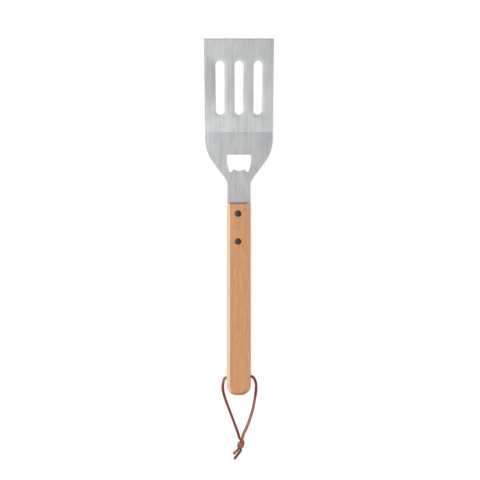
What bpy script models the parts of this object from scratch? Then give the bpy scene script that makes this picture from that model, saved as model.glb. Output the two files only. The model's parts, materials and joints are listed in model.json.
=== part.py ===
"""Grill spatula, lying face up on a table: one folded steel blade with a bottle opener in its neck,
a one-piece beech handle sawn open for the tang, two cutler's rivets and a leather hanging loop.

+Y runs along the tool towards the blade's front edge, +X across it and +Z up. The origin is on the
table, under the middle of the tool. The tool rests on the fold under its blade and on the back of
its handle's blade end, so the handle rises slightly towards its far end. The handle sits a little
turned about the neck, its right side up.
"""

from math import acos, atan2, ceil, cos, hypot, pi, radians, sin, tan

import bmesh
import bpy
from mathutils import Matrix, Vector

MM = 0.001
GAP = 0.3 * MM  # left between pieces that touch

# Blade. Places along it run from the middle of the fold, positive towards the front edge.
SHEET = 1.5 * MM
BLADE_WIDTH = 78.0 * MM
BLADE_LENGTH = 106.0 * MM
FRONT_CORNER = 1.2 * MM
FOLD_ANGLE = radians(26)
FOLD_RADIUS = 2.5 * MM  # of the middle of the sheet
FOLD_STEPS = 6
SHOULDER_AT, SHOULDER_ROUNDING = -21.9 * MM, 46.5 * MM  # where the sides turn inwards
THROAT_AT, THROAT_ROUNDING = -57.2 * MM, 14.0 * MM  # where they turn straight again
NECK_WIDTH = 26.6 * MM
NECK_LENGTH = 82.0 * MM  # from the fold to the handle
TANG_LENGTH = 56.0 * MM
TANG_CORNER = 2.0 * MM

SLOT_COUNT = 3
SLOT_PITCH = 21.4 * MM
SLOT_WIDTH = 9.7 * MM
SLOT_NEAR, SLOT_FAR = 20.3 * MM, 81.7 * MM

# Bottle opener. Corners of its right half as (across, along, rounding), from its top edge to the
# tip of a tooth; its two teeth hook under the edge of a crimped crown cap of 28.6 mm.
OPENER_HALF = [
    (13.85 * MM, -25.8 * MM, 1.2 * MM),
    (13.85 * MM, -37.3 * MM, 32.0 * MM),
    (10.2 * MM, -47.7 * MM, 1.3 * MM),
    (6.0 * MM, -42.9 * MM, 0.7 * MM),
]
OPENER_DIP = (0.0, -46.5 * MM, 9.0 * MM)  # between the two teeth

# Handle
HANDLE_LENGTH = 215.9 * MM
HANDLE_WIDTH = 26.8 * MM
HANDLE_THICK = 17.0 * MM
HANDLE_TURN = radians(6)  # about the neck
SIDE_CHAMFER = 4.3 * MM
END_CHAMFER = 2.5 * MM
FAR_CORNER = 11.0 * MM
KERF_LENGTH = TANG_LENGTH + 2.0 * MM
HOLE_RADIUS = 3.0 * MM
HOLE_FROM_END = 20.1 * MM

# Rivets
RIVETS_AT = [13.3 * MM, 44.9 * MM]  # from the handle's blade end
HEAD_RADIUS = 3.6 * MM
HEAD_SUNK = 1.4 * MM  # how deep each head's seat is cut below the wood's face
HEAD_RIM, HEAD_CROWN = 0.15 * MM, 0.5 * MM  # how far its rim and its middle stand above that face
SOCKET_RADIUS, SOCKET_BORE, SOCKET_TOP = 2.5 * MM, 1.75 * MM, 4.0 * MM
PIN_RADIUS, PIN_END = 1.4 * MM, -5.0 * MM
TURNED_SIDES = 32

# Hanging loop: a leather thong through the handle's cross hole, both ends tied in one knot. Places
# are in millimetres from the middle of the hole: across, along the tool, and up.
THONG = 3.0 * MM
THONG_STEP = 2 * THONG
LEFT_ROUTE = [
    (-0.15, 0.0, 0.0), (-7.0, -0.1, -0.7), (-13.0, -0.5, -0.9), (-16.2, -2.8, -1.6),
    (-17.5, -7.3, -2.4), (-18.1, -12.4, -3.4), (-17.3, -18.8, -5.3), (-15.2, -26.5, -8.4),
    (-12.5, -35.0, -12.2), (-9.4, -44.0, -16.1), (-6.3, -53.0, -19.5), (-3.5, -61.0, -21.8),
    (-1.0, -68.3, -23.5), (0.5, -73.7, -24.3),
]
RIGHT_ROUTE = [
    (0.15, 0.0, 0.0), (7.0, 0.3, 0.6), (12.8, 0.6, 1.15), (15.4, 0.0, 1.3),
    (17.6, -2.9, 1.0), (18.9, -6.8, 0.2), (19.3, -12.0, -1.5), (18.9, -18.8, -4.3), (17.8, -27.0, -8.1),
    (16.3, -36.5, -12.5), (14.0, -46.0, -16.6), (11.2, -55.0, -19.9), (8.1, -63.2, -22.4),
    (5.2, -69.4, -23.8), (4.0, -74.4, -24.4),
]
SHORT_TAIL = [(-1.8, -88.1, -25.8), (-4.1, -90.4, -26.8), (-6.3, -92.9, -27.3)]
LONG_TAIL = [(2.3, -88.0, -25.6), (0.0, -91.6, -26.8), (-2.7, -95.3, -27.3), (-5.4, -98.9, -27.3)]
KNOT_MIDDLE, KNOT_TURN = (2.1, -81.4, -24.8), radians(-10)
KNOT_LENGTH, KNOT_RADIUS, KNOT_END_RADIUS = 11.8 * MM, 3.8 * MM, 3.2 * MM

# Stance: the neck's slope that sets both the fold and the handle's back corner on the table.
REACH = NECK_LENGTH + END_CHAMFER - FOLD_RADIUS * FOLD_ANGLE / 2
BACK_HALF = HANDLE_WIDTH / 2 - SIDE_CHAMFER
DEPTH = FOLD_RADIUS + HANDLE_THICK / 2 * cos(HANDLE_TURN) + BACK_HALF * sin(HANDLE_TURN)
TILT = acos((FOLD_RADIUS + SHEET / 2) / hypot(DEPTH, REACH)) - atan2(REACH, DEPTH)


def clear_scene():
    for item in list(bpy.data.objects):
        bpy.data.objects.remove(item)


def material(name, colour, roughness, metallic=0.0):
    made = bpy.data.materials.new(name)
    made.use_nodes = True
    shader = made.node_tree.nodes["Principled BSDF"]
    shader.inputs["Base Color"].default_value = (*colour, 1.0)
    shader.inputs["Roughness"].default_value = roughness
    shader.inputs["Metallic"].default_value = metallic
    return made


def add_object(name, data, parent, finish=None):
    made = bpy.data.objects.new(name, data)
    bpy.context.scene.collection.objects.link(made)
    made.parent = parent
    if finish:
        data.materials.append(finish)
    return made


def add_empty(name, parent=None, location=(0, 0, 0), rotation=(0, 0, 0)):
    made = add_object(name, None, parent)
    made.location = location
    made.rotation_euler = rotation
    return made


def mesh_from(work, name):
    """A mesh from a bmesh, with its faces turned outwards and its round surfaces shaded smooth."""
    bmesh.ops.recalc_face_normals(work, faces=work.faces)
    mesh = bpy.data.meshes.new(name)
    work.to_mesh(mesh)
    work.free()
    mesh.shade_smooth()
    mesh.set_sharp_from_angle(angle=radians(30))
    return mesh


def rounded(corners):
    """A closed outline from (x, y, rounding) corners, each rounded off as an arc."""
    outline = []
    for i, (x, y, rounding) in enumerate(corners):
        corner = Vector((x, y))
        back = (Vector(corners[i - 1][:2]) - corner).normalized()
        ahead = (Vector(corners[(i + 1) % len(corners)][:2]) - corner).normalized()
        if rounding <= 0:
            outline.append(corner)
            continue
        half = back.angle(ahead) / 2
        middle = corner + (back + ahead).normalized() * rounding / sin(half)
        spoke = corner + back * rounding / tan(half) - middle
        turn = (pi - 2 * half) * (1 if ahead.cross(back) > 0 else -1)
        steps = max(3, ceil(abs(turn) / radians(14)))
        for k in range(steps + 1):
            outline.append(middle + Matrix.Rotation(turn * k / steps, 2) @ spoke)
    return outline


def mirrored(half):
    """Corners of a whole outline from those of its right half."""
    return half + [(-x, y, rounding) for x, y, rounding in reversed(half)]


def circle(x, y, radius, sides=TURNED_SIDES):
    turns = [2 * pi * k / sides for k in range(sides)]
    return [Vector((x + radius * cos(a), y + radius * sin(a))) for a in turns]


def prism(outline, low, high):
    """A bmesh of an outline in XY, extruded from low to high."""
    work = bmesh.new()
    face = work.faces.new([work.verts.new((*point, low)) for point in outline])
    made = bmesh.ops.extrude_face_region(work, geom=[face])["geom"]
    top = [item for item in made if isinstance(item, bmesh.types.BMVert)]
    bmesh.ops.translate(work, verts=top, vec=(0, 0, high - low))
    return work


def turned(profile, name, sides=TURNED_SIDES):
    """A mesh turned about Z from (radius, height) points; a profile starts and ends on the axis."""
    work = bmesh.new()
    rings = []
    for radius, height in profile:
        if radius <= 0:
            rings.append([work.verts.new((0, 0, height))])
        else:
            rings.append([work.verts.new((*point, height)) for point in circle(0, 0, radius, sides)])
    for low, high in zip(rings, rings[1:]):
        for k in range(sides):
            ends = [low[k % len(low)], low[(k + 1) % len(low)], high[(k + 1) % len(high)]]
            ends.append(high[k % len(high)])
            work.faces.new(list(dict.fromkeys(ends)))
    return mesh_from(work, name)


def cut(target, work, name, parent, tilt=Matrix.Identity(4)):
    """Subtracts the shape of a bmesh, placed in its parent's space, from target."""
    work.transform(tilt)
    cutter = add_object(name, mesh_from(work, name), parent)
    cutter.hide_render = True
    cutter.display_type = "WIRE"
    boolean = target.modifiers.new(name, "BOOLEAN")
    boolean.operation = "DIFFERENCE"
    boolean.solver = "EXACT"
    boolean.object = cutter


def folded(x, along, above):
    """Where a point of the flat blank goes, above being its height over the sheet's middle."""
    start = -FOLD_RADIUS * FOLD_ANGLE / 2
    turn = min(max((along - start) / FOLD_RADIUS, 0), FOLD_ANGLE)
    past = max(along + start, 0)
    y = start + FOLD_RADIUS * sin(turn) + past * cos(turn) - above * sin(turn)
    z = FOLD_RADIUS * (1 - cos(turn)) + past * sin(turn) + above * cos(turn)
    return Vector((x, min(along, start) - start + y, z))


def on_table(point):
    """A point in the neck's own space, turned to the stance but not yet moved over the origin."""
    return Matrix.Rotation(-TILT, 3, "X") @ Vector(point)


def turned_handle(point):
    """A point in the handle's own space, taken to the neck's."""
    return Matrix.Rotation(-HANDLE_TURN, 3, "Y") @ Vector(point)


def stance_location():
    front = on_table(folded(0, BLADE_LENGTH, -SHEET / 2)).y
    far_corner = (FAR_CORNER - HANDLE_WIDTH / 2, END_CHAMFER - HANDLE_THICK / 2)
    far_end = (far_corner[0], -NECK_LENGTH - HANDLE_LENGTH, far_corner[1])
    far = on_table(turned_handle(far_end)).y
    fold_middle = on_table((0, -FOLD_RADIUS * FOLD_ANGLE / 2, FOLD_RADIUS)).z
    return Vector((0, -(front + far) / 2, FOLD_RADIUS + SHEET / 2 - fold_middle))


def blade_outlines():
    """The outlines of the flat blank: its edge, then every opening in it."""
    tang_end = -NECK_LENGTH - TANG_LENGTH
    edge = [
        (BLADE_WIDTH / 2, BLADE_LENGTH, FRONT_CORNER),
        (BLADE_WIDTH / 2, SHOULDER_AT, SHOULDER_ROUNDING),
        (NECK_WIDTH / 2, THROAT_AT, THROAT_ROUNDING),
        (NECK_WIDTH / 2, tang_end, TANG_CORNER),
    ]
    outlines = [rounded(mirrored(edge))]
    for k in range(SLOT_COUNT):
        x = (k - (SLOT_COUNT - 1) / 2) * SLOT_PITCH
        half, end = SLOT_WIDTH / 2, SLOT_WIDTH / 2 * 0.9999
        slot = [(half, SLOT_FAR, end), (half, SLOT_NEAR, end)]
        outlines.append([point + Vector((x, 0)) for point in rounded(mirrored(slot))])
    opener = OPENER_HALF + [OPENER_DIP] + [(-x, y, r) for x, y, r in reversed(OPENER_HALF)]
    outlines.append(rounded(opener))
    for at in RIVETS_AT:
        outlines.append(circle(0, -NECK_LENGTH - at, SOCKET_RADIUS + GAP))
    return outlines


def make_blade(parent, finish):
    """The blank with its openings, as a filled flat curve, made a mesh and folded."""
    blank = bpy.data.curves.new("blade_blank", "CURVE")
    blank.dimensions = "2D"
    blank.fill_mode = "BOTH"
    blank.extrude = SHEET / 2
    for outline in blade_outlines():
        spline = blank.splines.new("POLY")
        spline.points.add(len(outline) - 1)
        for point, place in zip(spline.points, outline):
            point.co = (*place, 0, 1)
        spline.use_cyclic_u = True
    flat = add_object("blade_blank", blank, None)
    work = bmesh.new()
    work.from_mesh(bpy.data.meshes.new_from_object(flat))
    bpy.data.objects.remove(flat)
    bmesh.ops.remove_doubles(work, verts=work.verts, dist=0.001 * MM)
    for k in range(FOLD_STEPS + 1):
        row = FOLD_RADIUS * FOLD_ANGLE * (k / FOLD_STEPS - 0.5)
        every = work.verts[:] + work.edges[:] + work.faces[:]
        bmesh.ops.bisect_plane(work, geom=every, plane_co=(0, row, 0), plane_no=(0, 1, 0))
    for vert in work.verts:
        vert.co = folded(*vert.co)
    return add_object("blade", mesh_from(work, "blade"), parent, finish)


def handle_outline(side_inset, end_inset):
    """The handle's outline seen from its face, square at the blade end and round at the far end."""
    half = HANDLE_WIDTH / 2 - side_inset
    far_corner = FAR_CORNER - 0.36 * (side_inset + end_inset)
    near, far = -NECK_LENGTH - end_inset, end_inset - NECK_LENGTH - HANDLE_LENGTH
    return rounded(mirrored([(half, near, 0), (half, far, far_corner)]))


def make_handle(parent, neck, finish):
    """Lofted through outlines at each break in its chamfers, sawn in the neck's plane and bored."""
    work = bmesh.new()
    half = HANDLE_THICK / 2
    loops = []
    for height in (-half, END_CHAMFER - half, SIDE_CHAMFER - half):
        depth = half + height
        loops.append((height, max(SIDE_CHAMFER - depth, 0), max(END_CHAMFER - depth, 0)))
    loops += [(-height, side, end) for height, side, end in reversed(loops)]
    rings = []
    for height, side, end in loops:
        rings.append([work.verts.new((*point, height)) for point in handle_outline(side, end)])
    count = len(rings[0])
    for low, high in zip(rings, rings[1:]):
        for k in range(count):
            after = (k + 1) % count
            work.faces.new((low[k], low[after], high[after], high[k]))
    work.faces.new(rings[0])
    work.faces.new(rings[-1])
    handle = add_object("handle", mesh_from(work, "handle"), parent, finish)

    kerf_half = SHEET / 2 + GAP
    wide, over = HANDLE_WIDTH, 1.0 * MM
    end, mouth = -NECK_LENGTH - KERF_LENGTH, -NECK_LENGTH + over
    kerf = [Vector(p) for p in ((-wide, end), (wide, end), (wide, mouth), (-wide, mouth))]
    cut(handle, prism(kerf, -kerf_half, kerf_half), "cut_kerf", neck)
    for number, at in enumerate(RIVETS_AT, 1):
        y = -NECK_LENGTH - at
        hole = circle(0, y, SOCKET_RADIUS + GAP)
        seat = circle(0, y, HEAD_RADIUS + GAP)
        floor, above = half - HEAD_SUNK, half + over
        cut(handle, prism(hole, -half, half), f"cut_rivet_{number}", parent)
        cut(handle, prism(seat, floor, above), f"cut_front_seat_{number}", parent)
        cut(handle, prism(seat, -above, -floor), f"cut_back_seat_{number}", parent)
    across = Matrix.Translation((0, HOLE_FROM_END - NECK_LENGTH - HANDLE_LENGTH, 0))
    across = across @ Matrix.Rotation(pi / 2, 4, "Y")
    cut(handle, prism(circle(0, 0, HOLE_RADIUS), -wide, wide), "cut_cord_hole", parent, across)
    return handle


def make_rivets(parent, finish):
    """Each rivet is a pin pressed into a socket, one from either face of the handle."""
    half = HANDLE_THICK / 2
    under, rim, crown = half - HEAD_SUNK + GAP, half + HEAD_RIM, half + HEAD_CROWN
    head = [(0, crown), (HEAD_RADIUS * 0.45, crown - (crown - rim) * 0.2)]
    head += [(HEAD_RADIUS * 0.8, crown - (crown - rim) * 0.62), (HEAD_RADIUS - 0.2 * MM, rim)]
    head += [(HEAD_RADIUS, rim - 0.2 * MM), (HEAD_RADIUS, under)]
    pin = head + [(PIN_RADIUS, under), (PIN_RADIUS, PIN_END), (0, PIN_END)]
    bore_end = PIN_END - GAP
    socket = [(radius, -height) for radius, height in head] + [(SOCKET_RADIUS, -under)]
    socket += [(SOCKET_RADIUS, SOCKET_TOP), (SOCKET_BORE, SOCKET_TOP), (SOCKET_BORE, bore_end)]
    socket += [(0, bore_end)]
    for number, at in enumerate(RIVETS_AT, 1):
        for kind, profile in (("pin", pin), ("socket", socket)):
            name = f"rivet_{number}_{kind}"
            made = add_object(name, turned(profile, name), parent, finish)
            made.location.y = -NECK_LENGTH - at


def smooth_line(route, step):
    """Points a step apart on the smooth curve through a route given in millimetres."""
    stops = [Vector(place) * MM for place in route]
    slopes = []
    for k, here in enumerate(stops):
        before, after = stops[max(k - 1, 0)], stops[min(k + 1, len(stops) - 1)]
        span = (here - before).length + (after - here).length
        slopes.append((after - before) / span)
    fine = [stops[0]]
    for a, b, slope_a, slope_b in zip(stops, stops[1:], slopes, slopes[1:]):
        span = (b - a).length
        for k in range(1, 17):
            t = k / 16
            fine.append(
                a * (1 + 2 * t) * (1 - t) ** 2
                + b * t * t * (3 - 2 * t)
                + slope_a * span * t * (1 - t) ** 2
                + slope_b * span * t * t * (t - 1)
            )
    along = [0.0]
    for a, b in zip(fine, fine[1:]):
        along.append(along[-1] + (b - a).length)
    count = max(2, round(along[-1] / step))
    line, k = [], 0
    for n in range(count + 1):
        want = along[-1] * n / count
        while k < len(fine) - 2 and along[k + 1] < want:
            k += 1
        line.append(fine[k].lerp(fine[k + 1], (want - along[k]) / (along[k + 1] - along[k])))
    return line


def make_tube(name, route, parent, finish):
    tube = bpy.data.curves.new(name, "CURVE")
    tube.dimensions = "3D"
    tube.bevel_depth = THONG / 2
    tube.bevel_resolution = 2
    tube.use_fill_caps = True
    line = smooth_line(route, THONG_STEP)
    spline = tube.splines.new("POLY")
    spline.points.add(len(line) - 1)
    for point, place in zip(spline.points, line):
        point.co = (*place, 1)
    return add_object(name, tube, parent, finish)


def make_knot(parent, finish):
    """The knot's outer shape: a barrel along the thong, its flat ends facing the strands."""
    profile = [(0, -KNOT_LENGTH / 2)]
    for k in range(9):
        share = k / 4 - 1
        radius = KNOT_RADIUS - (KNOT_RADIUS - KNOT_END_RADIUS) * share * share
        profile.append((radius, share * KNOT_LENGTH / 2))
    profile.append((0, KNOT_LENGTH / 2))
    knot = add_object("loop_knot", turned(profile, "loop_knot", 20), parent, finish)
    knot.location = Vector(KNOT_MIDDLE) * MM
    knot.rotation_euler = (pi / 2, 0, KNOT_TURN)


clear_scene()
steel = material("brushed_stainless_steel", (0.52, 0.54, 0.545), 0.34, 1.0)
beech = material("oiled_beech", (0.64, 0.33, 0.165), 0.55)
blackened = material("blackened_rivet_steel", (0.075, 0.07, 0.068), 0.38, 1.0)
leather = material("brown_leather", (0.19, 0.052, 0.036), 0.6)

stance = add_empty("stance", None, stance_location(), (-TILT, 0, 0))
turn = add_empty("handle_turn", stance, (0, 0, 0), (0, -HANDLE_TURN, 0))
make_blade(stance, steel)
make_handle(turn, stance, beech)
make_rivets(turn, blackened)

hole = (0, HOLE_FROM_END - NECK_LENGTH - HANDLE_LENGTH, 0)
loop_pivot = add_empty("loop_pivot", None, stance_location() + on_table(hole))
make_tube("loop_cord_left", LEFT_ROUTE, loop_pivot, leather)
make_tube("loop_cord_right", RIGHT_ROUTE, loop_pivot, leather)
make_tube("loop_tail_short", SHORT_TAIL, loop_pivot, leather)
make_tube("loop_tail_long", LONG_TAIL, loop_pivot, leather)
make_knot(loop_pivot, leather)
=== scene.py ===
"""Looks of the grill spatula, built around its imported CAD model.

The blade, the handle, the rivets and the leather thong are each rebuilt with their fine edges,
where the CAD solids stand: metres, +Y towards the blade's front edge, +Z up, the table at z = 0.
"""

import json
from math import acos, atan2, ceil, cos, hypot, pi, radians, sin, tan

import bmesh
import bpy
from mathutils import Matrix, Vector, geometry, noise


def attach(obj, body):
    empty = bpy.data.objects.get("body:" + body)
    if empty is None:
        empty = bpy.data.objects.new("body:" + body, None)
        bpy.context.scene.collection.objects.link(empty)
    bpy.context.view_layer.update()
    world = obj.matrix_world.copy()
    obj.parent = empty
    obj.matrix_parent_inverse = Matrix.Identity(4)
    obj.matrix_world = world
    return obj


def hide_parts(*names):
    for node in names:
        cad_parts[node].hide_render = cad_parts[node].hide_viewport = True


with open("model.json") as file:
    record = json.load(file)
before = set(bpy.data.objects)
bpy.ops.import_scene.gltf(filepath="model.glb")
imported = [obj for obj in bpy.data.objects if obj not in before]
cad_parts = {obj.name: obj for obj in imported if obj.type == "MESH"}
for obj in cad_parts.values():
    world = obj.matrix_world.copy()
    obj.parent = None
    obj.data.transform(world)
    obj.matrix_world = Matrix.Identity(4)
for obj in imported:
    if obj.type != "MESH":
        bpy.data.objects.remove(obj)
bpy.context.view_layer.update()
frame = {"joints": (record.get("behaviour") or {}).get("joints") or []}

MM = 0.001

# The tool's own sizes. Places along the blade run from the middle of its fold.
SHEET = 1.5 * MM
BLADE_WIDTH, BLADE_LENGTH, FRONT_CORNER = 78.0 * MM, 106.0 * MM, 1.2 * MM
FOLD_ANGLE, FOLD_RADIUS = radians(26), 2.5 * MM
SHOULDER_AT, SHOULDER_ROUNDING = -21.9 * MM, 46.5 * MM
THROAT_AT, THROAT_ROUNDING = -57.2 * MM, 14.0 * MM
NECK_WIDTH, NECK_LENGTH = 26.6 * MM, 82.0 * MM
TANG_LENGTH, TANG_CORNER = 56.0 * MM, 2.0 * MM
SLOT_COUNT, SLOT_PITCH, SLOT_WIDTH = 3, 21.4 * MM, 9.7 * MM
SLOT_NEAR, SLOT_FAR = 20.3 * MM, 81.7 * MM
OPENER_HALF = [
    (13.85 * MM, -25.8 * MM, 1.2 * MM),
    (13.85 * MM, -37.3 * MM, 32.0 * MM),
    (10.2 * MM, -47.7 * MM, 1.3 * MM),
    (6.0 * MM, -42.9 * MM, 0.7 * MM),
]
OPENER_DIP = (0.0, -46.5 * MM, 9.0 * MM)

HANDLE_LENGTH, HANDLE_WIDTH, HANDLE_THICK = 215.9 * MM, 26.8 * MM, 17.0 * MM
HANDLE_TURN = radians(6)
SIDE_CHAMFER, END_CHAMFER, FAR_CORNER = 4.3 * MM, 2.5 * MM, 11.0 * MM
KERF_LENGTH = TANG_LENGTH + 2.0 * MM
HOLE_RADIUS, HOLE_FROM_END = 3.0 * MM, 20.1 * MM
RIVETS_AT = [13.3 * MM, 44.9 * MM]
HEAD_RADIUS, HEAD_SUNK, HEAD_RIM, HEAD_CROWN = 3.6 * MM, 1.4 * MM, 0.15 * MM, 0.5 * MM
SOCKET_RADIUS, SOCKET_BORE, SOCKET_TOP = 2.5 * MM, 1.75 * MM, 4.0 * MM
PIN_RADIUS, PIN_END = 1.4 * MM, -5.0 * MM

# The thong's route, in millimetres from the middle of the handle's cross hole.
THONG = 3.0 * MM
LEFT_ROUTE = [
    (-0.15, 0.0, 0.0), (-7.0, -0.1, -0.7), (-13.0, -0.5, -0.9), (-16.2, -2.8, -1.6),
    (-17.5, -7.3, -2.4), (-18.1, -12.4, -3.4), (-17.3, -18.8, -5.3), (-15.2, -26.5, -8.4),
    (-12.5, -35.0, -12.2), (-9.4, -44.0, -16.1), (-6.3, -53.0, -19.5), (-3.5, -61.0, -21.8),
    (-1.0, -68.3, -23.5), (0.5, -73.7, -24.3),
]
RIGHT_ROUTE = [
    (0.15, 0.0, 0.0), (7.0, 0.3, 0.6), (12.8, 0.6, 1.15), (15.4, 0.0, 1.3),
    (17.6, -2.9, 1.0), (18.9, -6.8, 0.2), (19.3, -12.0, -1.5), (18.9, -18.8, -4.3), (17.8, -27.0, -8.1),
    (16.3, -36.5, -12.5), (14.0, -46.0, -16.6), (11.2, -55.0, -19.9), (8.1, -63.2, -22.4),
    (5.2, -69.4, -23.8), (4.0, -74.4, -24.4),
]
SHORT_TAIL = [(-1.8, -88.1, -25.8), (-4.1, -90.4, -26.8), (-6.3, -92.9, -27.3)]
LONG_TAIL = [(2.3, -88.0, -25.6), (0.0, -91.6, -26.8), (-2.7, -95.3, -27.3), (-5.4, -98.9, -27.3)]
KNOT_MIDDLE, KNOT_TURN = (2.1, -81.4, -24.8), radians(-10)

# Where the neck's own space stands: the cross hole's middle is on the loop's joint.
REACH = NECK_LENGTH + END_CHAMFER - FOLD_RADIUS * FOLD_ANGLE / 2
BACK_HALF = HANDLE_WIDTH / 2 - SIDE_CHAMFER
DEPTH = FOLD_RADIUS + HANDLE_THICK / 2 * cos(HANDLE_TURN) + BACK_HALF * sin(HANDLE_TURN)
TILT = acos((FOLD_RADIUS + SHEET / 2) / hypot(DEPTH, REACH)) - atan2(REACH, DEPTH)
PIVOT = Vector(frame["joints"][0]["pos_m"])
HOLE = Vector((0, HOLE_FROM_END - NECK_LENGTH - HANDLE_LENGTH, 0))
STANCE = Matrix.Translation(PIVOT) @ Matrix.Rotation(-TILT, 4, "X") @ Matrix.Translation(-HOLE)
TURNED = STANCE @ Matrix.Rotation(-HANDLE_TURN, 4, "Y")


# ---------------------------------------------------------------- camera, light and floor

AIM = Vector((0, 0.02, 0.02))  # where the softboxes face
FLOOR_HALF = 30.0  # metres, so that its far edge is lost in the distance
FLOOR_GREY, FLOOR_GLOW = 0.15, 0.885  # its own colour, and the light that comes up through it


def add_object(name, data):
    made = bpy.data.objects.new(name, data)
    bpy.context.scene.collection.objects.link(made)
    return made


def make_camera():
    """Looks straight down on the tool from a metre up, as for a catalogue picture."""
    camera = add_object("camera", bpy.data.cameras.new("camera"))
    camera.data.sensor_width = 36.0
    camera.data.lens = 65.2
    camera.data.clip_start = 0.05
    camera.location = (1.25 * MM, -25.1 * MM, 1.0)
    bpy.context.scene.camera = camera


def make_softbox(name, place, size, power):
    """A rectangular area light at place, facing AIM."""
    lamp = bpy.data.lights.new(name, "AREA")
    lamp.shape = "RECTANGLE"
    lamp.size, lamp.size_y = size
    lamp.energy = power
    softbox = add_object(name, lamp)
    softbox.location = place
    facing = AIM - Vector(place)
    softbox.rotation_euler = facing.to_track_quat("-Z", "Y").to_euler()


def make_light():
    """An even white tent, with its softboxes on the left brighter than the rest."""
    world = bpy.data.worlds.new("studio")
    world.use_nodes = True
    sky = world.node_tree.nodes["Background"]
    sky.inputs["Color"].default_value = (0.97, 0.985, 1.0, 1.0)
    sky.inputs["Strength"].default_value = 0.535
    bpy.context.scene.world = world
    bpy.context.scene.view_settings.view_transform = "Standard"
    make_softbox("softbox_low_left", (-1.4, -0.1, 0.45), (1.6, 0.8), 13.0)
    make_softbox("softbox_blade_side", (-0.47, 0.38, 0.75), (0.7, 0.8), 1.93)
    make_softbox("softbox_middle_left", (-0.45, -0.25, 0.75), (0.35, 0.5), 0.78)
    make_softbox("softbox_handle_side", (-0.8, -0.7, 0.9), (0.8, 0.8), 2.1)
    make_softbox("softbox_behind", (0.0, -1.0, 1.1), (0.8, 0.6), 1.5)
    make_softbox("softbox_low_right", (1.4, 0.0, 0.45), (1.6, 0.8), 4.5)


def make_floor():
    """A wide sweep of matt white table, lit through from below as well."""
    work = bmesh.new()
    bmesh.ops.create_grid(work, x_segments=1, y_segments=1, size=FLOOR_HALF)
    mesh = bpy.data.meshes.new("floor")
    work.to_mesh(mesh)
    work.free()
    finish = bpy.data.materials.new("white_table")
    finish.use_nodes = True
    shader = finish.node_tree.nodes["Principled BSDF"]
    shader.inputs["Base Color"].default_value = (FLOOR_GREY, FLOOR_GREY, FLOOR_GREY, 1.0)
    shader.inputs["Roughness"].default_value = 0.9
    shader.inputs["Emission Color"].default_value = (1.0, 1.0, 1.0, 1.0)
    shader.inputs["Emission Strength"].default_value = FLOOR_GLOW
    mesh.materials.append(finish)
    add_object("floor", mesh)


# ---------------------------------------------------------------- material helpers

class Nodes:
    """Builds one node material; each method adds a node and gives its output socket."""

    def __init__(self, name):
        self.material = bpy.data.materials.new(name)
        self.material.use_nodes = True
        self.tree = self.material.node_tree
        self.shader = self.tree.nodes["Principled BSDF"]

    def join(self, value, socket):
        if isinstance(value, bpy.types.NodeSocket):
            self.tree.links.new(value, socket)
        elif value is not None:
            socket.default_value = value

    def set(self, **inputs):
        for name, value in inputs.items():
            self.join(value, self.shader.inputs[name.replace("_", " ")])

    def attribute(self, name, output="Vector"):
        node = self.tree.nodes.new("ShaderNodeAttribute")
        node.attribute_name = name
        return node.outputs[output]

    def scaled(self, vector, scale, offset=(0, 0, 0)):
        node = self.tree.nodes.new("ShaderNodeMapping")
        self.join(vector, node.inputs["Vector"])
        node.inputs["Scale"].default_value = scale
        node.inputs["Location"].default_value = offset
        return node.outputs["Vector"]

    def noise(self, vector, scale, detail=2.0, rough=0.5, offset=(0, 0, 0)):
        """Noise whose grains are about 1 / scale metres long along each axis."""
        node = self.tree.nodes.new("ShaderNodeTexNoise")
        self.join(self.scaled(vector, scale, offset), node.inputs["Vector"])
        node.inputs["Scale"].default_value = 1.0
        node.inputs["Detail"].default_value = detail
        node.inputs["Roughness"].default_value = rough
        return node.outputs["Fac"]

    def cells(self, vector, scale, offset=(0, 0, 0)):
        node = self.tree.nodes.new("ShaderNodeTexVoronoi")
        self.join(self.scaled(vector, scale, offset), node.inputs["Vector"])
        node.inputs["Scale"].default_value = 1.0
        return node.outputs["Distance"]

    def length(self, vector):
        node = self.tree.nodes.new("ShaderNodeVectorMath")
        node.operation = "LENGTH"
        self.join(vector, node.inputs[0])
        return node.outputs["Value"]

    def math(self, operation, a, b=None):
        node = self.tree.nodes.new("ShaderNodeMath")
        node.operation = operation
        self.join(a, node.inputs[0])
        self.join(b, node.inputs[1])
        return node.outputs["Value"]

    def ranged(self, value, from_low, from_high, to_low=0.0, to_high=1.0):
        node = self.tree.nodes.new("ShaderNodeMapRange")
        node.interpolation_type = "SMOOTHSTEP"
        self.join(value, node.inputs["Value"])
        node.inputs["From Min"].default_value = from_low
        node.inputs["From Max"].default_value = from_high
        node.inputs["To Min"].default_value = to_low
        node.inputs["To Max"].default_value = to_high
        return node.outputs["Result"]

    def mix(self, share, a, b, blend="MIX"):
        node = self.tree.nodes.new("ShaderNodeMix")
        node.data_type = "RGBA"
        node.blend_type = blend
        self.join(share, node.inputs["Factor"])
        for value, name in ((a, "A_Color"), (b, "B_Color")):
            socket = next(s for s in node.inputs if s.identifier == name)
            self.join((*value, 1.0) if isinstance(value, tuple) else value, socket)
        return next(s for s in node.outputs if s.identifier == "Result_Color")

    def bump(self, height, depth, strength):
        node = self.tree.nodes.new("ShaderNodeBump")
        node.inputs["Distance"].default_value = depth
        node.inputs["Strength"].default_value = strength
        self.join(height, node.inputs["Height"])
        return node.outputs["Normal"]


# A bluish grey painted reflection, darker than the steel round it, on the blade's left bar.
DARK_REFLECTION_MIDDLE, DARK_REFLECTION_SIZE = (-32.5 * MM, 59.0 * MM), (7.5 * MM, 26.0 * MM)  # patch on the left bar


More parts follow.
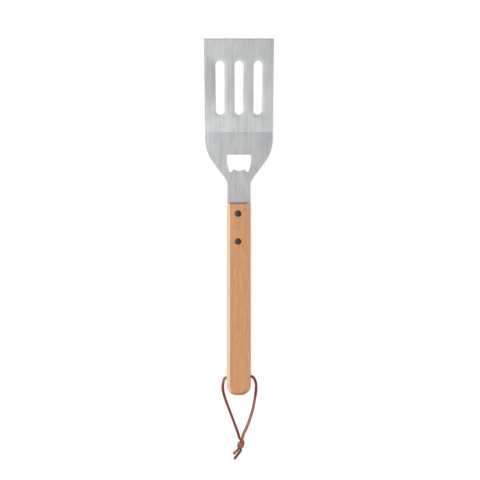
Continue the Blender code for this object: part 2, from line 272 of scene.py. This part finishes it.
def steel_finish():
    """Stainless sheet brushed along the tool, blotched, with a painted darker reflection on its left
    bar.
    """
    made = Nodes("brushed_stainless_steel")
    sheet = made.attribute("sheet")
    streaks = made.noise(sheet, (760, 24, 760), 4.0, 0.6)
    hairs = made.noise(sheet, (5200, 60, 5200), 2.0, 0.6)
    blotches = made.noise(sheet, (70, 38, 70), 2.0, 0.5)
    tone = made.ranged(streaks, 0.3, 0.7)
    colour = made.mix(tone, (0.517, 0.528, 0.532), (0.678, 0.684, 0.682))
    colour = made.mix(made.ranged(hairs, 0.3, 0.7, 0.0, 0.45), colour, (0.46, 0.47, 0.475))
    colour = made.mix(made.ranged(blotches, 0.35, 0.65, 0.0, 0.40), colour, (0.72, 0.725, 0.725))
    (x, along), (wide, long) = DARK_REFLECTION_MIDDLE, DARK_REFLECTION_SIZE
    dark_reflection = made.length(made.scaled(sheet, (1 / wide, 1 / long, 0), (-x / wide, -along / long, 0)))
    # Painted darker reflection on the left bar.
    colour = made.mix(made.ranged(dark_reflection, 1.35, 0.6, 0.0, 0.9), colour, (0.465, 0.482, 0.495))
    # Painted shade: the sheet's cut edges are darkened almost to black.
    painted_edge_shade = made.ranged(made.attribute("rim", "Fac"), 0.1, 0.9, 0.0, 0.9)
    colour = made.mix(painted_edge_shade, colour, (0.17, 0.175, 0.18))
    made.set(Base_Color=colour, Metallic=1.0)
    made.set(Roughness=made.ranged(hairs, 0.2, 0.8, 0.34, 0.46))
    made.set(Normal=made.bump(made.math("ADD", hairs, streaks), 0.02 * MM, 0.25))
    return made.material


def beech_finish():
    """Oiled beech: rings, fibres, ray flecks, painted light on the bevels, strongest on the left, and
    darker end grain.
    """
    made = Nodes("oiled_beech")
    wood = made.attribute("wood")
    warp = made.noise(wood, (60, 7, 60), 2.0)
    rings = made.tree.nodes.new("ShaderNodeTexWave")
    rings.wave_type, rings.rings_direction = "RINGS", "Y"
    made.join(made.scaled(wood, (1, 0.03, 1), (0.021, 0, 0.034)), rings.inputs["Vector"])
    rings.inputs["Scale"].default_value = 96.0
    rings.inputs["Distortion"].default_value = 3.5
    rings.inputs["Detail"].default_value = 2.0
    rings.inputs["Detail Scale"].default_value = 0.9
    fibres = made.noise(wood, (2600, 34, 2600), 3.0, 0.6)
    flecks = made.cells(wood, (1250, 230, 1250))
    patches = made.noise(wood, (900, 120, 900), 1.0, 0.5, (3, 5, 7))
    ring = made.ranged(rings.outputs["Fac"], 0.0, 1.0)
    colour = made.mix(ring, (0.625, 0.269, 0.066), (0.535, 0.215, 0.047))
    colour = made.mix(made.ranged(warp, 0.3, 0.7, 0.0, 0.55), colour, (0.670, 0.300, 0.084))
    colour = made.mix(made.ranged(fibres, 0.35, 0.75, 0.0, 0.7), colour, (0.40, 0.155, 0.040))
    grain = made.noise(wood, (430, 75, 430), 3.0, 0.65, (2, 8, 5))
    colour = made.mix(made.ranged(grain, 0.38, 0.62, 0.0, 0.62), colour, (0.445, 0.171, 0.034))
    speck = made.math("MULTIPLY", made.ranged(flecks, 0.34, 0.16), made.ranged(patches, 0.48, 0.60))
    colour = made.mix(made.math("MULTIPLY", speck, 0.55), colour, (0.27, 0.105, 0.040))
    # Painted light: the bevels are painted paler and creamier, most on the left side.
    painted_bevel_light = made.math("MULTIPLY", made.attribute("painted_bevel_light", "Fac"), 0.75)
    colour = made.mix(painted_bevel_light, colour, made.mix(0.8, colour, (0.575, 0.395, 0.240)))
    end = made.attribute("end_grain", "Fac")
    pores = made.ranged(made.noise(wood, (2400, 2400, 2400), 2.0, 0.6), 0.35, 0.7)
    end_colour = made.mix(pores, (0.43, 0.118, 0.014), (0.33, 0.078, 0.007))
    colour = made.mix(end, colour, end_colour)
    made.set(Base_Color=colour, Roughness=made.ranged(fibres, 0.3, 0.8, 0.42, 0.58))
    made.set(Specular_IOR_Level=0.9, Coat_Weight=1.0, Coat_Roughness=0.42)
    height = made.math("SUBTRACT", fibres, made.math("MULTIPLY", speck, 0.6))
    made.set(Normal=made.bump(height, 0.05 * MM, 0.5))
    return made.material


def rivet_finish():
    """Blackened steel, clouded a little lighter and darker at random."""
    made = Nodes("blackened_steel")
    place = made.attribute("turned_place")
    clouds = made.noise(place, (520, 520, 520), 3.0, 0.6)
    grit = made.noise(place, (3800, 3800, 3800), 2.0, 0.6)
    colour = made.mix(made.ranged(clouds, 0.3, 0.7), (0.035, 0.036, 0.040), (0.066, 0.064, 0.066))
    made.set(Base_Color=colour, Metallic=0.75)
    made.set(Roughness=made.ranged(clouds, 0.3, 0.7, 0.36, 0.5))
    made.set(Normal=made.bump(grit, 0.03 * MM, 0.5))
    return made.material


def leather_finish():
    """Square-cut lace: a dyed grain side, paler cut sides, and a painted orange-tan highlight on top of
    the band across the knot.
    """
    made = Nodes("dyed_leather_lace")
    lace = made.attribute("lace")
    side = made.attribute("flesh", "Fac")
    pores = made.noise(lace, (2100, 1500, 2100), 3.0, 0.65)
    hairs = made.noise(lace, (2600, 420, 2600), 3.0, 0.7, (4, 2, 9))
    slow = made.noise(lace, (260, 90, 260), 2.0, 0.5, (1, 6, 3))
    grain = made.mix(made.ranged(slow, 0.3, 0.7), (0.150, 0.029, 0.018), (0.245, 0.056, 0.035))
    flesh = made.mix(made.ranged(hairs, 0.3, 0.7), (0.265, 0.090, 0.062), (0.430, 0.185, 0.135))
    broken = made.math("ADD", side, made.math("MULTIPLY", made.math("SUBTRACT", hairs, 0.5), 0.5))
    colour = made.mix(made.ranged(broken, 0.35, 0.65), grain, flesh)
    # Painted highlight: orange-tan on the upward side of the band across the knot.
    knot_highlight = made.math("MULTIPLY", made.attribute("knot_highlight", "Fac"), made.ranged(slow, 0.25, 0.6, 0.5, 1.0))
    colour = made.mix(knot_highlight, colour, (0.47, 0.150, 0.048))
    colour = made.mix(made.ranged(pores, 0.5, 0.72, 0.0, 0.4), colour, (0.085, 0.020, 0.013))
    made.set(Base_Color=colour, Roughness=made.ranged(side, 0.2, 0.8, 0.42, 0.72))
    made.set(Specular_IOR_Level=0.3)
    height = made.math("SUBTRACT", made.math("MULTIPLY", hairs, side), made.math("MULTIPLY", pores, 0.5))
    made.set(Normal=made.bump(height, 0.12 * MM, 0.5))
    return made.material


# ---------------------------------------------------------------- outlines and meshes

def corner_sides(corners):
    """Each corner of a closed outline, with the ways back and ahead along it, and its rounding."""
    for i, (x, y, rounding) in enumerate(corners):
        corner = Vector((x, y))
        back = (Vector(corners[i - 1][:2]) - corner).normalized()
        ahead = (Vector(corners[(i + 1) % len(corners)][:2]) - corner).normalized()
        yield corner, back, ahead, rounding


def arc(middle, spoke, turn, steps):
    return [middle + Matrix.Rotation(turn * k / steps, 2) @ spoke for k in range(steps + 1)]


def rounded(corners, step):
    """A closed outline from (x, y, rounding) corners, each rounded off as an arc in steps this long."""
    outline = []
    for corner, back, ahead, rounding in corner_sides(corners):
        if rounding <= 0:
            outline.append(corner)
            continue
        half = back.angle(ahead) / 2
        middle = corner + (back + ahead).normalized() * rounding / sin(half)
        spoke = corner + back * rounding / tan(half) - middle
        turn = (pi - 2 * half) * (1 if ahead.cross(back) > 0 else -1)
        steps = max(3, ceil(abs(turn) * rounding / step), ceil(abs(turn) / radians(12)))
        outline += arc(middle, spoke, turn, steps)
    return outline


def rounded_evenly(corners, steps):
    """As rounded, for square corners, with this many steps in each arc, so that rings can be lofted."""
    outline = []
    for corner, back, ahead, rounding in corner_sides(corners):
        if rounding <= 0:
            outline.append(corner)
            continue
        turn = pi / 2 * (1 if ahead.cross(back) > 0 else -1)
        outline += arc(corner + (back + ahead) * rounding, -ahead * rounding, turn, steps)
    return outline


def mirrored(half):
    return half + [(-x, y, rounding) for x, y, rounding in reversed(half)]


def circle(x, y, radius, sides):
    turns = [2 * pi * k / sides for k in range(sides)]
    return [Vector((x + radius * cos(a), y + radius * sin(a))) for a in turns]


def edge_normals(outline, outside):
    """At each point of an outline, the direction out of the material, lengthened at the corners."""
    normals = []
    area = sum(a.cross(b) for a, b in zip(outline, outline[1:] + outline[:1]))
    turn = (1 if area > 0 else -1) * (1 if outside else -1)
    for i, point in enumerate(outline):
        before = (point - outline[i - 1]).normalized()
        after = (outline[(i + 1) % len(outline)] - point).normalized()
        a = Vector((before.y, -before.x)) * turn
        b = Vector((after.y, -after.x)) * turn
        normals.append((a + b) / max(1 + a.dot(b), 0.2))
    return normals


def eased(value, low, high):
    """0 below low, 1 above high and a smooth step between them."""
    share = min(max((value - low) / (high - low), 0), 1)
    return share * share * (3 - 2 * share)


def add_attribute(mesh, name, kind, domain, values):
    layer = mesh.attributes.new(name, kind, domain)
    key = "vector" if kind == "FLOAT_VECTOR" else "value"
    flat = [x for value in values for x in value] if key == "vector" else values
    layer.data.foreach_set(key, flat)


def turned(profile, sides):
    """A bmesh turned about Z from (radius, height) points; a profile starts and ends on the axis."""
    work = bmesh.new()
    rings = []
    for radius, height in profile:
        if radius <= 0:
            rings.append([work.verts.new((0, 0, height))])
        else:
            rings.append([work.verts.new((*point, height)) for point in circle(0, 0, radius, sides)])
    for low, high in zip(rings, rings[1:]):
        for k in range(sides):
            ends = [low[k % len(low)], low[(k + 1) % len(low)], high[(k + 1) % len(high)]]
            ends.append(high[k % len(high)])
            work.faces.new(list(dict.fromkeys(ends)))
    bmesh.ops.recalc_face_normals(work, faces=work.faces)
    return work


def mesh_from(work, name, sharp=radians(32)):
    mesh = bpy.data.meshes.new(name)
    work.to_mesh(mesh)
    work.free()
    mesh.shade_smooth()
    mesh.set_sharp_from_angle(angle=sharp)
    return mesh


def settle_normals(mesh, sharp=radians(32)):
    """Smooth shading over shallow edges, where a face's share of a normal goes by its area."""
    around = [[] for vert in mesh.vertices]
    for face in mesh.polygons:
        for index in face.vertices:
            around[index].append((face.normal.copy(), face.area))
    normals = []
    for face in mesh.polygons:
        for index in face.vertices:
            total = Vector()
            for normal, area in around[index]:
                if normal.dot(face.normal) > cos(sharp):
                    total += normal * area
            normals.append(total.normalized() if total.length > 0 else face.normal.copy())
    mesh.shade_smooth()
    mesh.normals_split_custom_set(normals)


def add_piece(name, mesh, finish, body, slot, *nodes):
    piece = add_object(name, mesh)
    mesh.materials.append(finish)
    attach(piece, body)
    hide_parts(*nodes)
    return piece


# ---------------------------------------------------------------- blade

RIM = 0.25 * MM  # rounding of the sheet's cut edges
FOLD_STEPS = 12
CROWN, CROWN_LEAN = 5.0 * MM, 0.08  # how the punched slots draw the sheet down round them
GROUND, GROUND_DEPTH, GROUND_BREAK = 1.1 * MM, 0.25 * MM, 0.12 * MM  # along the front edge


def folded(x, along, above):
    """Where a point of the flat blank goes, and how far the sheet has turned there."""
    start = -FOLD_RADIUS * FOLD_ANGLE / 2
    turn = min(max((along - start) / FOLD_RADIUS, 0), FOLD_ANGLE)
    past = max(along + start, 0)
    y = start + FOLD_RADIUS * sin(turn) + past * cos(turn) - above * sin(turn)
    z = FOLD_RADIUS * (1 - cos(turn)) + past * sin(turn) + above * cos(turn)
    return Vector((x, min(along, start) - start + y, z)), turn


def blade_outlines():
    """The outlines of the flat blank: its edge, then every opening in it."""
    fine = 0.8 * MM
    edge = [
        (BLADE_WIDTH / 2, BLADE_LENGTH, FRONT_CORNER),
        (BLADE_WIDTH / 2, SHOULDER_AT, SHOULDER_ROUNDING),
        (NECK_WIDTH / 2, THROAT_AT, THROAT_ROUNDING),
        (NECK_WIDTH / 2, -NECK_LENGTH - TANG_LENGTH, TANG_CORNER),
    ]
    outlines = [rounded(mirrored(edge), fine)]
    for k in range(SLOT_COUNT):
        x = (k - (SLOT_COUNT - 1) / 2) * SLOT_PITCH
        half, end = SLOT_WIDTH / 2, SLOT_WIDTH / 2 * 0.9999
        slot = rounded(mirrored([(half, SLOT_FAR, end), (half, SLOT_NEAR, end)]), fine / 2)
        outlines.append([point + Vector((x, 0)) for point in slot])
    opener = OPENER_HALF + [OPENER_DIP] + [(-x, y, r) for x, y, r in reversed(OPENER_HALF)]
    outlines.append(rounded(opener, fine / 2))
    for at in RIVETS_AT:
        outlines.append(circle(0, -NECK_LENGTH - at, SOCKET_RADIUS + 0.3 * MM, 48))
    return [tidied(outline) for outline in outlines]


def tidied(outline):
    """An outline without the points that fall on the one before."""
    return [p for i, p in enumerate(outline) if (p - outline[i - 1]).length > 0.02 * MM]


def rim_profile():
    """(inset, height, outward share, upward share) round the edge, from the top face down."""
    half, steps = SHEET / 2, 4
    profile = []
    for k in range(steps + 1):
        a = pi / 2 * k / steps
        profile.append((RIM * (1 - sin(a)), half - RIM * (1 - cos(a)), sin(a), cos(a)))
    return profile + [(inset, -high, out, -up) for inset, high, out, up in reversed(profile)]


def slot_profile():
    """As rim_profile, with a wide, barely leaning band of the top face round the slot."""
    rim = rim_profile()
    return [(CROWN, SHEET / 2, 0.0, 1.0), (RIM, SHEET / 2, CROWN_LEAN, 1.0)] + rim[1:]


def make_blade(finish):
    """The blank with its rounded rims, then ground along its front, then folded."""
    work = bmesh.new()
    normal_layer = work.verts.layers.float_vector.new("flat_normal")
    tops, bottoms = [], []
    for number, outline in enumerate(blade_outlines()):
        outward = edge_normals(outline, number == 0)
        rings = []
        profile = slot_profile() if 1 <= number <= SLOT_COUNT else rim_profile()
        for inset, height, out, up in profile:
            ring = []
            for point, normal in zip(outline, outward):
                vert = work.verts.new((*(point - normal * inset), height))
                vert[normal_layer] = (*(normal.normalized() * out), up)
                ring.append(vert)
            rings.append(ring)
        for high, low in zip(rings, rings[1:]):
            for k in range(len(high)):
                after = (k + 1) % len(high)
                work.faces.new((high[k], high[after], low[after], low[k]))
        tops.append(rings[0])
        bottoms.append(rings[-1])
    for loops in (tops, bottoms):
        verts = [vert for loop in loops for vert in loop]
        flat = [[Vector((*vert.co.xy, 0)) for vert in loop] for loop in loops]
        for corners in geometry.tessellate_polygon(flat):
            work.faces.new([verts[i] for i in corners])
    rows = [FOLD_RADIUS * FOLD_ANGLE * (k / FOLD_STEPS - 0.5) for k in range(FOLD_STEPS + 1)]
    rows += [BLADE_LENGTH - GROUND + GROUND_BREAK * side for side in (-1, 1)]
    for row in rows:
        every = work.verts[:] + work.edges[:] + work.faces[:]
        bmesh.ops.bisect_plane(work, geom=every, plane_co=(0, row, 0), plane_no=(0, 1, 0))
    bmesh.ops.recalc_face_normals(work, faces=work.faces)

    sheet_places, rims, normals = [], [], []
    slope = GROUND_DEPTH / GROUND
    for vert in work.verts:
        x, along, above = vert.co
        sheet_places.append((x, along, above))
        normal = Vector(vert[normal_layer]).normalized()
        rims.append(1 - abs(normal.z))
        past = along - (BLADE_LENGTH - GROUND)
        if past > 0 and above > 0:
            above -= slope * past * above / (SHEET / 2)
            normal = (normal + Vector((0, slope * normal.z, 0))).normalized()
        place, turn = folded(x, along, above)
        vert.co = STANCE @ place
        normals.append(STANCE.to_3x3() @ Matrix.Rotation(turn, 3, "X") @ normal)
    mesh = bpy.data.meshes.new("blade_sheet")
    work.to_mesh(mesh)
    work.free()
    mesh.shade_smooth()
    mesh.normals_split_custom_set_from_vertices(normals)
    mesh.attributes.remove(mesh.attributes["flat_normal"])
    add_attribute(mesh, "sheet", "FLOAT_VECTOR", "POINT", sheet_places)
    add_attribute(mesh, "rim", "FLOAT", "POINT", rims)
    return add_piece("blade_sheet", mesh, finish, "spatula", "blade_steel", "blade")


# ---------------------------------------------------------------- handle

EASED = 0.45 * MM  # rounding of the handle's arrises
SNUG = 0.05 * MM  # play round the tang and the rivets
CORNER_STEPS = 24  # in each rounded corner of the handle's outline
CORNER_SHRINK = 0.36  # a far corner's rounding shrinks by this share of what the chamfers draw in
SEAT_LIP, MOUTH_FLARE = 0.15 * MM, 0.7 * MM  # eased edges of the rivets' seats and the cross hole


def handle_outline(side_inset, end_inset):
    """The handle's outline at a height where its chamfers draw its sides and ends in this far."""
    half = HANDLE_WIDTH / 2 - side_inset
    far_corner = FAR_CORNER - CORNER_SHRINK * (side_inset + end_inset)
    near, far = -NECK_LENGTH - end_inset, end_inset - NECK_LENGTH - HANDLE_LENGTH
    return rounded_evenly(mirrored([(half, near, 0), (half, far, far_corner)]), CORNER_STEPS)


def handle_blank():
    """The handle lofted through outlines at each break in its chamfers."""
    work = bmesh.new()
    half = HANDLE_THICK / 2
    loops = []
    for height in (-half, END_CHAMFER - half, SIDE_CHAMFER - half):
        depth = half + height
        loops.append((height, max(SIDE_CHAMFER - depth, 0), max(END_CHAMFER - depth, 0)))
    loops += [(-height, side, end) for height, side, end in reversed(loops)]
    rings = []
    for height, side, end in loops:
        rings.append([work.verts.new((*point, height)) for point in handle_outline(side, end)])
    count = len(rings[0])
    for low, high in zip(rings, rings[1:]):
        for k in range(count):
            after = (k + 1) % count
            work.faces.new((low[k], low[after], high[after], high[k]))
    work.faces.new(rings[0])
    work.faces.new(rings[-1])
    bmesh.ops.recalc_face_normals(work, faces=work.faces)
    return mesh_from(work, "handle_blank")


def block(low, high):
    """A box between two opposite corners."""
    work = bmesh.new()
    bmesh.ops.create_cube(work, size=1.0)
    size, middle = Vector(high) - Vector(low), (Vector(high) + Vector(low)) / 2
    fit = Matrix.Translation(middle) @ Matrix.Diagonal((*size, 1))
    bmesh.ops.transform(work, verts=work.verts, matrix=fit)
    return work


def cut(target, work, place):
    """Takes the solid in work, moved to place, out of the target, and gives the cutter."""
    cutter = add_object("cutter", mesh_from(work, "cutter"))
    cutter.matrix_world = place
    boolean = target.modifiers.new("cut", "BOOLEAN")
    boolean.operation = "DIFFERENCE"
    boolean.solver = "EXACT"
    boolean.object = cutter
    return cutter


def frozen(piece, helpers, name):
    """The piece's mesh with its modifiers applied; the piece and its helpers are removed."""
    bpy.context.view_layer.update()
    graph = bpy.context.evaluated_depsgraph_get()
    mesh = bpy.data.meshes.new_from_object(piece.evaluated_get(graph))
    mesh.name = name
    for item in [piece, *helpers]:
        bpy.data.objects.remove(item)
    return mesh


def make_handle(finish):
    """Blank with eased arrises, sawn for the tang, bored for the rivets and the thong."""
    half, over = HANDLE_THICK / 2, 1.0 * MM
    blank = add_object("handle_blank", handle_blank())
    easing = blank.modifiers.new("eased", "BEVEL")
    easing.limit_method = "ANGLE"
    easing.angle_limit = radians(20)
    easing.width = EASED
    easing.segments = 3
    turn = Matrix.Rotation(HANDLE_TURN, 4, "Y")  # the saw runs in the neck's plane
    kerf_half = SHEET / 2 + SNUG
    kerf_end = (-HANDLE_WIDTH, -NECK_LENGTH - KERF_LENGTH, -kerf_half)
    kerf = block(kerf_end, (HANDLE_WIDTH, over - NECK_LENGTH, kerf_half))
    cutters = [cut(blank, kerf, turn)]
    floor = half - HEAD_SUNK
    seat_radius, hole_radius = HEAD_RADIUS + SNUG, SOCKET_RADIUS + SNUG
    upper = [(hole_radius, floor), (seat_radius, floor), (seat_radius, half - SEAT_LIP)]
    upper += [(seat_radius + over + SEAT_LIP, half + over), (0, half + over)]
    spool = [(radius, -height) for radius, height in reversed(upper)] + upper
    for at in RIVETS_AT:
        seat = Matrix.Translation((0, -NECK_LENGTH - at, 0))
        cutters.append(cut(blank, turned(spool, 64), seat))
    mouth = HANDLE_WIDTH / 2
    mouth_half = []
    for k in range(5):
        a = pi / 2 * k / 4
        widened = HOLE_RADIUS + MOUTH_FLARE * (1 - cos(a))
        mouth_half.append((widened, mouth - MOUTH_FLARE * (1 - sin(a))))
    mouth_half += [(HOLE_RADIUS + MOUTH_FLARE, mouth + over), (0, mouth + over)]
    bore = [(radius, -height) for radius, height in reversed(mouth_half)] + mouth_half
    across = Matrix.Translation(HOLE) @ Matrix.Rotation(pi / 2, 4, "Y")
    cutters.append(cut(blank, turned(bore, 48), across))
    mesh = frozen(blank, cutters, "handle_beech")
    mesh.materials.clear()
    add_attribute(mesh, "wood", "FLOAT_VECTOR", "POINT", [vert.co.copy() for vert in mesh.vertices])
    ends, painted_bevel_light = [], []
    for face in mesh.polygons:
        ends += [eased(abs(face.normal.y), 0.35, 0.65)] * face.loop_total
        # Painted light on the bevels: full on the left-facing ones, 0.3 on the right.
        bevel = eased(min(abs(face.normal.x), abs(face.normal.z)), 0.3, 0.6)
        painted_bevel_light += [bevel if face.normal.x < 0 else 0.3 * bevel] * face.loop_total
    add_attribute(mesh, "end_grain", "FLOAT", "CORNER", ends)
    add_attribute(mesh, "painted_bevel_light", "FLOAT", "CORNER", painted_bevel_light)
    mesh.transform(TURNED)
    settle_normals(mesh)
    return add_piece("handle_beech", mesh, finish, "spatula", "beech", "handle")


# ---------------------------------------------------------------- rivets

HEAD_EDGE, PIN_CHAMFER = 0.25 * MM, 0.3 * MM  # rounding of a head's edge, and the pin's end


def head_profile():
    """A rivet's head from the middle of its domed top down to its flat underside."""
    half = HANDLE_THICK / 2
    rim, crown, under = half + HEAD_RIM, half + HEAD_CROWN, half - HEAD_SUNK + SNUG
    profile = [(0, crown)]
    for k in range(1, 9):
        share = k / 8
        profile.append(((HEAD_RADIUS - HEAD_EDGE) * share, crown - (crown - rim) * share * share))
    for k in range(1, 5):
        a = pi / 2 * k / 4
        profile.append((HEAD_RADIUS - HEAD_EDGE * (1 - sin(a)), rim - HEAD_EDGE * (1 - cos(a))))
    return profile + [(HEAD_RADIUS, under)]


def make_rivets(finish):
    """Each rivet is a pin pressed into a socket, one from either face of the handle."""
    head = head_profile()
    under = head[-1][1]
    pin = head + [(PIN_RADIUS, under), (PIN_RADIUS, PIN_END + PIN_CHAMFER)]
    pin += [(PIN_RADIUS - PIN_CHAMFER, PIN_END), (0, PIN_END)]
    bore_end = PIN_END - 0.3 * MM  # leaves room past the pin
    socket = [(radius, -height) for radius, height in head]
    socket += [(SOCKET_RADIUS, -under), (SOCKET_RADIUS, SOCKET_TOP)]
    socket += [(SOCKET_BORE, SOCKET_TOP), (SOCKET_BORE, bore_end), (0, bore_end)]
    for number, at in enumerate(RIVETS_AT, 1):
        for kind, profile in (("pin", pin), ("socket", socket)):
            name = f"rivet_{number}_{kind}_steel"
            mesh = mesh_from(turned(profile, 72), name)
            places = [vert.co + Vector((0, at, 0)) for vert in mesh.vertices]
            add_attribute(mesh, "turned_place", "FLOAT_VECTOR", "POINT", places)
            mesh.transform(TURNED @ Matrix.Translation((0, -NECK_LENGTH - at, 0)))
            add_piece(name, mesh, finish, "spatula", "rivet_steel", f"rivet_{number}_{kind}")


# ---------------------------------------------------------------- thong

KNOTTED = 2.0  # millimetres from strand to strand in the pulled-tight knot
KNOT_DRAWN, KNOT_WAIST = 1.15, 0.85  # how far pulling lengthens it and narrows it
KNOT_LIFT = -0.15  # of the knot's turns, in strands
RING_STEP, RING_SIDES = 0.45 * MM, 20
RIGHTING = 0.09  # how fast a twisted lace turns back on each step
LEFT_TWIST = [(0, 150), (16, 110), (34, 10), (90, -10), (150, 0)]  # millimetres along, degrees
RIGHT_TWIST = [(0, 0), (22, 5), (50, 105), (95, 140), (118, 150), (140, 215)]
LACE_SHIFT = 3.7  # each half's pattern is moved this far, so that they differ
LACE_WIDTH, KNOT_SQUEEZE = 0.97, 0.22  # of the nominal width, and what the knot takes off it
LACE_SQUARE, KNOT_ROUNDING = 3.4, 0.9  # exponent of its section, and what the knot takes off it
LACE_LUMPS = 0.045  # of its width

# An overhand knot tied with both strands together. Places are in strands from the knot's middle:
# towards the tails, to the right, and up; then the direction from the left strand to the right one.
KNOT_HALF = [
    ((-1.7, 0.25, 0.0), (0.0, 0.75, 0.65)),
    ((0.0, 0.4, -0.1), (0.0, 0.1, 1.0)),
    ((1.4, 0.3, -0.25), (0.35, 0.2, 0.9)),
    ((1.9, -0.55, -0.9), (1.0, 0.0, 0.1)),
    ((0.75, -1.15, -0.3), (0.2, -1.0, 0.1)),
    ((-0.6, -0.95, 0.55), (-0.75, -0.6, 0.3)),
]
KNOT_BAND = ((0.0, 0.0, 1.1), (-0.86, 0.51, 0.0))
KNOT_EXIT = ((1.7, -0.2, 0.0), (0.0, -0.75, -0.65))


def knot_stops(side):
    """One strand's way through the knot in millimetres from the hole; side is -1 left, 1 right."""
    stops = KNOT_HALF + [KNOT_BAND]
    for (down, right, up), (a, b, c) in reversed(KNOT_HALF[1:]):
        stops = stops + [((-down, -right, up), (a, b, -c))]
    stops = stops + [KNOT_EXIT]
    turn = Matrix.Rotation(KNOT_TURN, 3, "Z")
    way = []
    for (down, right, up), apart in stops:
        a, b, c = Vector(apart).normalized() * 0.5 * side
        across, along = (right + b) * KNOT_WAIST, (down + a) * KNOT_DRAWN
        place = Vector((across, -along, up + c + KNOT_LIFT)) * KNOTTED
        way.append(Vector(KNOT_MIDDLE) + turn @ place)
    return way


def smooth_line(route, step):
    """Points a step apart on the smooth curve through a route given in millimetres."""
    stops = [Vector(place) * MM for place in route]
    slopes = []
    for k, here in enumerate(stops):
        before, after = stops[max(k - 1, 0)], stops[min(k + 1, len(stops) - 1)]
        span = (here - before).length + (after - here).length
        slopes.append((after - before) / span)
    fine = [stops[0]]
    for a, b, slope_a, slope_b in zip(stops, stops[1:], slopes, slopes[1:]):
        span = (b - a).length
        for k in range(1, 17):
            t = k / 16
            fine.append(
                a * (1 + 2 * t) * (1 - t) ** 2
                + b * t * t * (3 - 2 * t)
                + slope_a * span * t * (1 - t) ** 2
                + slope_b * span * t * t * (t - 1)
            )
    along = [0.0]
    for a, b in zip(fine, fine[1:]):
        along.append(along[-1] + (b - a).length)
    count = max(2, round(along[-1] / step))
    line, k = [], 0
    for n in range(count + 1):
        want = along[-1] * n / count
        while k < len(fine) - 2 and along[k + 1] < want:
            k += 1
        line.append(fine[k].lerp(fine[k + 1], (want - along[k]) / (along[k + 1] - along[k])))
    return line


def twist_at(along, stops):
    """The lace's turn about its own line, eased between (distance in millimetres, degrees) stops."""
    turn = stops[0][1]
    for (start, before), (end, after) in zip(stops, stops[1:]):
        turn += (after - before) * eased(along, start * MM, end * MM)
    return radians(turn)


def make_strand(name, line, twist, seed, finish, *nodes):
    """A square-cut lace swept along a line, squeezed where it is knotted and cut off at its ends."""
    middle = PIVOT + Vector(KNOT_MIDDLE) * MM
    work = bmesh.new()
    places, fleshes, knot_highlight, rings = [], [], [], []
    up = Vector((0, 0, 1))
    count = len(line)
    for k, here in enumerate(line):
        ahead = (line[min(k + 1, count - 1)] - line[max(k - 1, 0)]).normalized()
        up = (up - ahead * up.dot(ahead)).normalized()
        level = Vector((0, 0, 1)) - ahead * ahead.z
        up = (up + level * RIGHTING).normalized()
        side = ahead.cross(up)
        along = k * RING_STEP
        pulled = 1 - eased(abs(here.y - middle.y), 4.5 * MM, 8.5 * MM)  # 1 inside the knot
        # 1 on the band across the knot, fading out to its right, where the highlight is painted.
        highlight_band = 1 - eased(abs(here.y - middle.y + 0.9 * MM), 1.9 * MM, 3.6 * MM)
        highlight_band *= 1 - eased(here.x - middle.x, 0.4 * MM, 2.2 * MM)
        radius = THONG / 2 * (LACE_WIDTH - KNOT_SQUEEZE * pulled)
        square = LACE_SQUARE - KNOT_ROUNDING * pulled
        end = min(k, count - 1 - k) * RING_STEP
        radius *= 0.9 + 0.1 * eased(end, 0, 0.5 * MM)
        turn = twist_at(along, twist)
        ring = []
        for n in range(RING_SIDES):
            a = 2 * pi * n / RING_SIDES
            c, s = cos(a), sin(a)
            reach = (abs(c) ** square + abs(s) ** square) ** (-1 / square)
            lump = noise.noise(Vector((c * 1.3, s * 1.3, along * 300 + seed)))
            lump += 0.6 * noise.noise(Vector((c * 2.1, s * 2.1, along * 1100 + seed)))
            reach *= radius * (1 + LACE_LUMPS * lump)
            b = a + turn
            ring.append(work.verts.new(here + (up * cos(b) + side * sin(b)) * reach))
            places.append((c * radius, along, s * radius + seed))
            fleshes.append(eased(-c, -0.35, 0.35))
            # The painted highlight goes on the band's upward-facing side.
            knot_highlight.append(highlight_band * eased(cos(b), 0.0, 0.7))
        rings.append(ring)
    for low, high in zip(rings, rings[1:]):
        for n in range(RING_SIDES):
            after = (n + 1) % RING_SIDES
            work.faces.new((low[n], low[after], high[after], high[n]))
    work.faces.new(rings[0])
    work.faces.new(rings[-1])
    bmesh.ops.recalc_face_normals(work, faces=work.faces)
    mesh = mesh_from(work, name, radians(60))
    add_attribute(mesh, "lace", "FLOAT_VECTOR", "POINT", places)
    add_attribute(mesh, "flesh", "FLOAT", "POINT", fleshes)
    add_attribute(mesh, "knot_highlight", "FLOAT", "POINT", knot_highlight)
    return add_piece(name, mesh, finish, "hanging_loop", "thong_leather", *nodes)


def make_thong(finish):
    """Both halves of the thong, each from the middle of the cross hole to its own tail's cut end."""
    halves = [
        ("thong_left", LEFT_ROUTE, LONG_TAIL, -1, LEFT_TWIST,
         ["loop_cord_left", "loop_knot", "loop_tail_long"]),
        ("thong_right", RIGHT_ROUTE, SHORT_TAIL, 1, RIGHT_TWIST,
         ["loop_cord_right", "loop_tail_short"]),
    ]
    for name, route, tail, side, twist, nodes in halves:
        stops = [Vector(place) for place in route] + knot_stops(side) + [Vector(place) for place in tail]
        line = [PIVOT + point for point in smooth_line(stops, RING_STEP)]
        strand = make_strand(name, line, twist, side * LACE_SHIFT, finish, *nodes)


make_camera()
make_thong(leather_finish())
make_blade(steel_finish())
make_handle(beech_finish())
make_rivets(rivet_finish())
make_light()
make_floor()
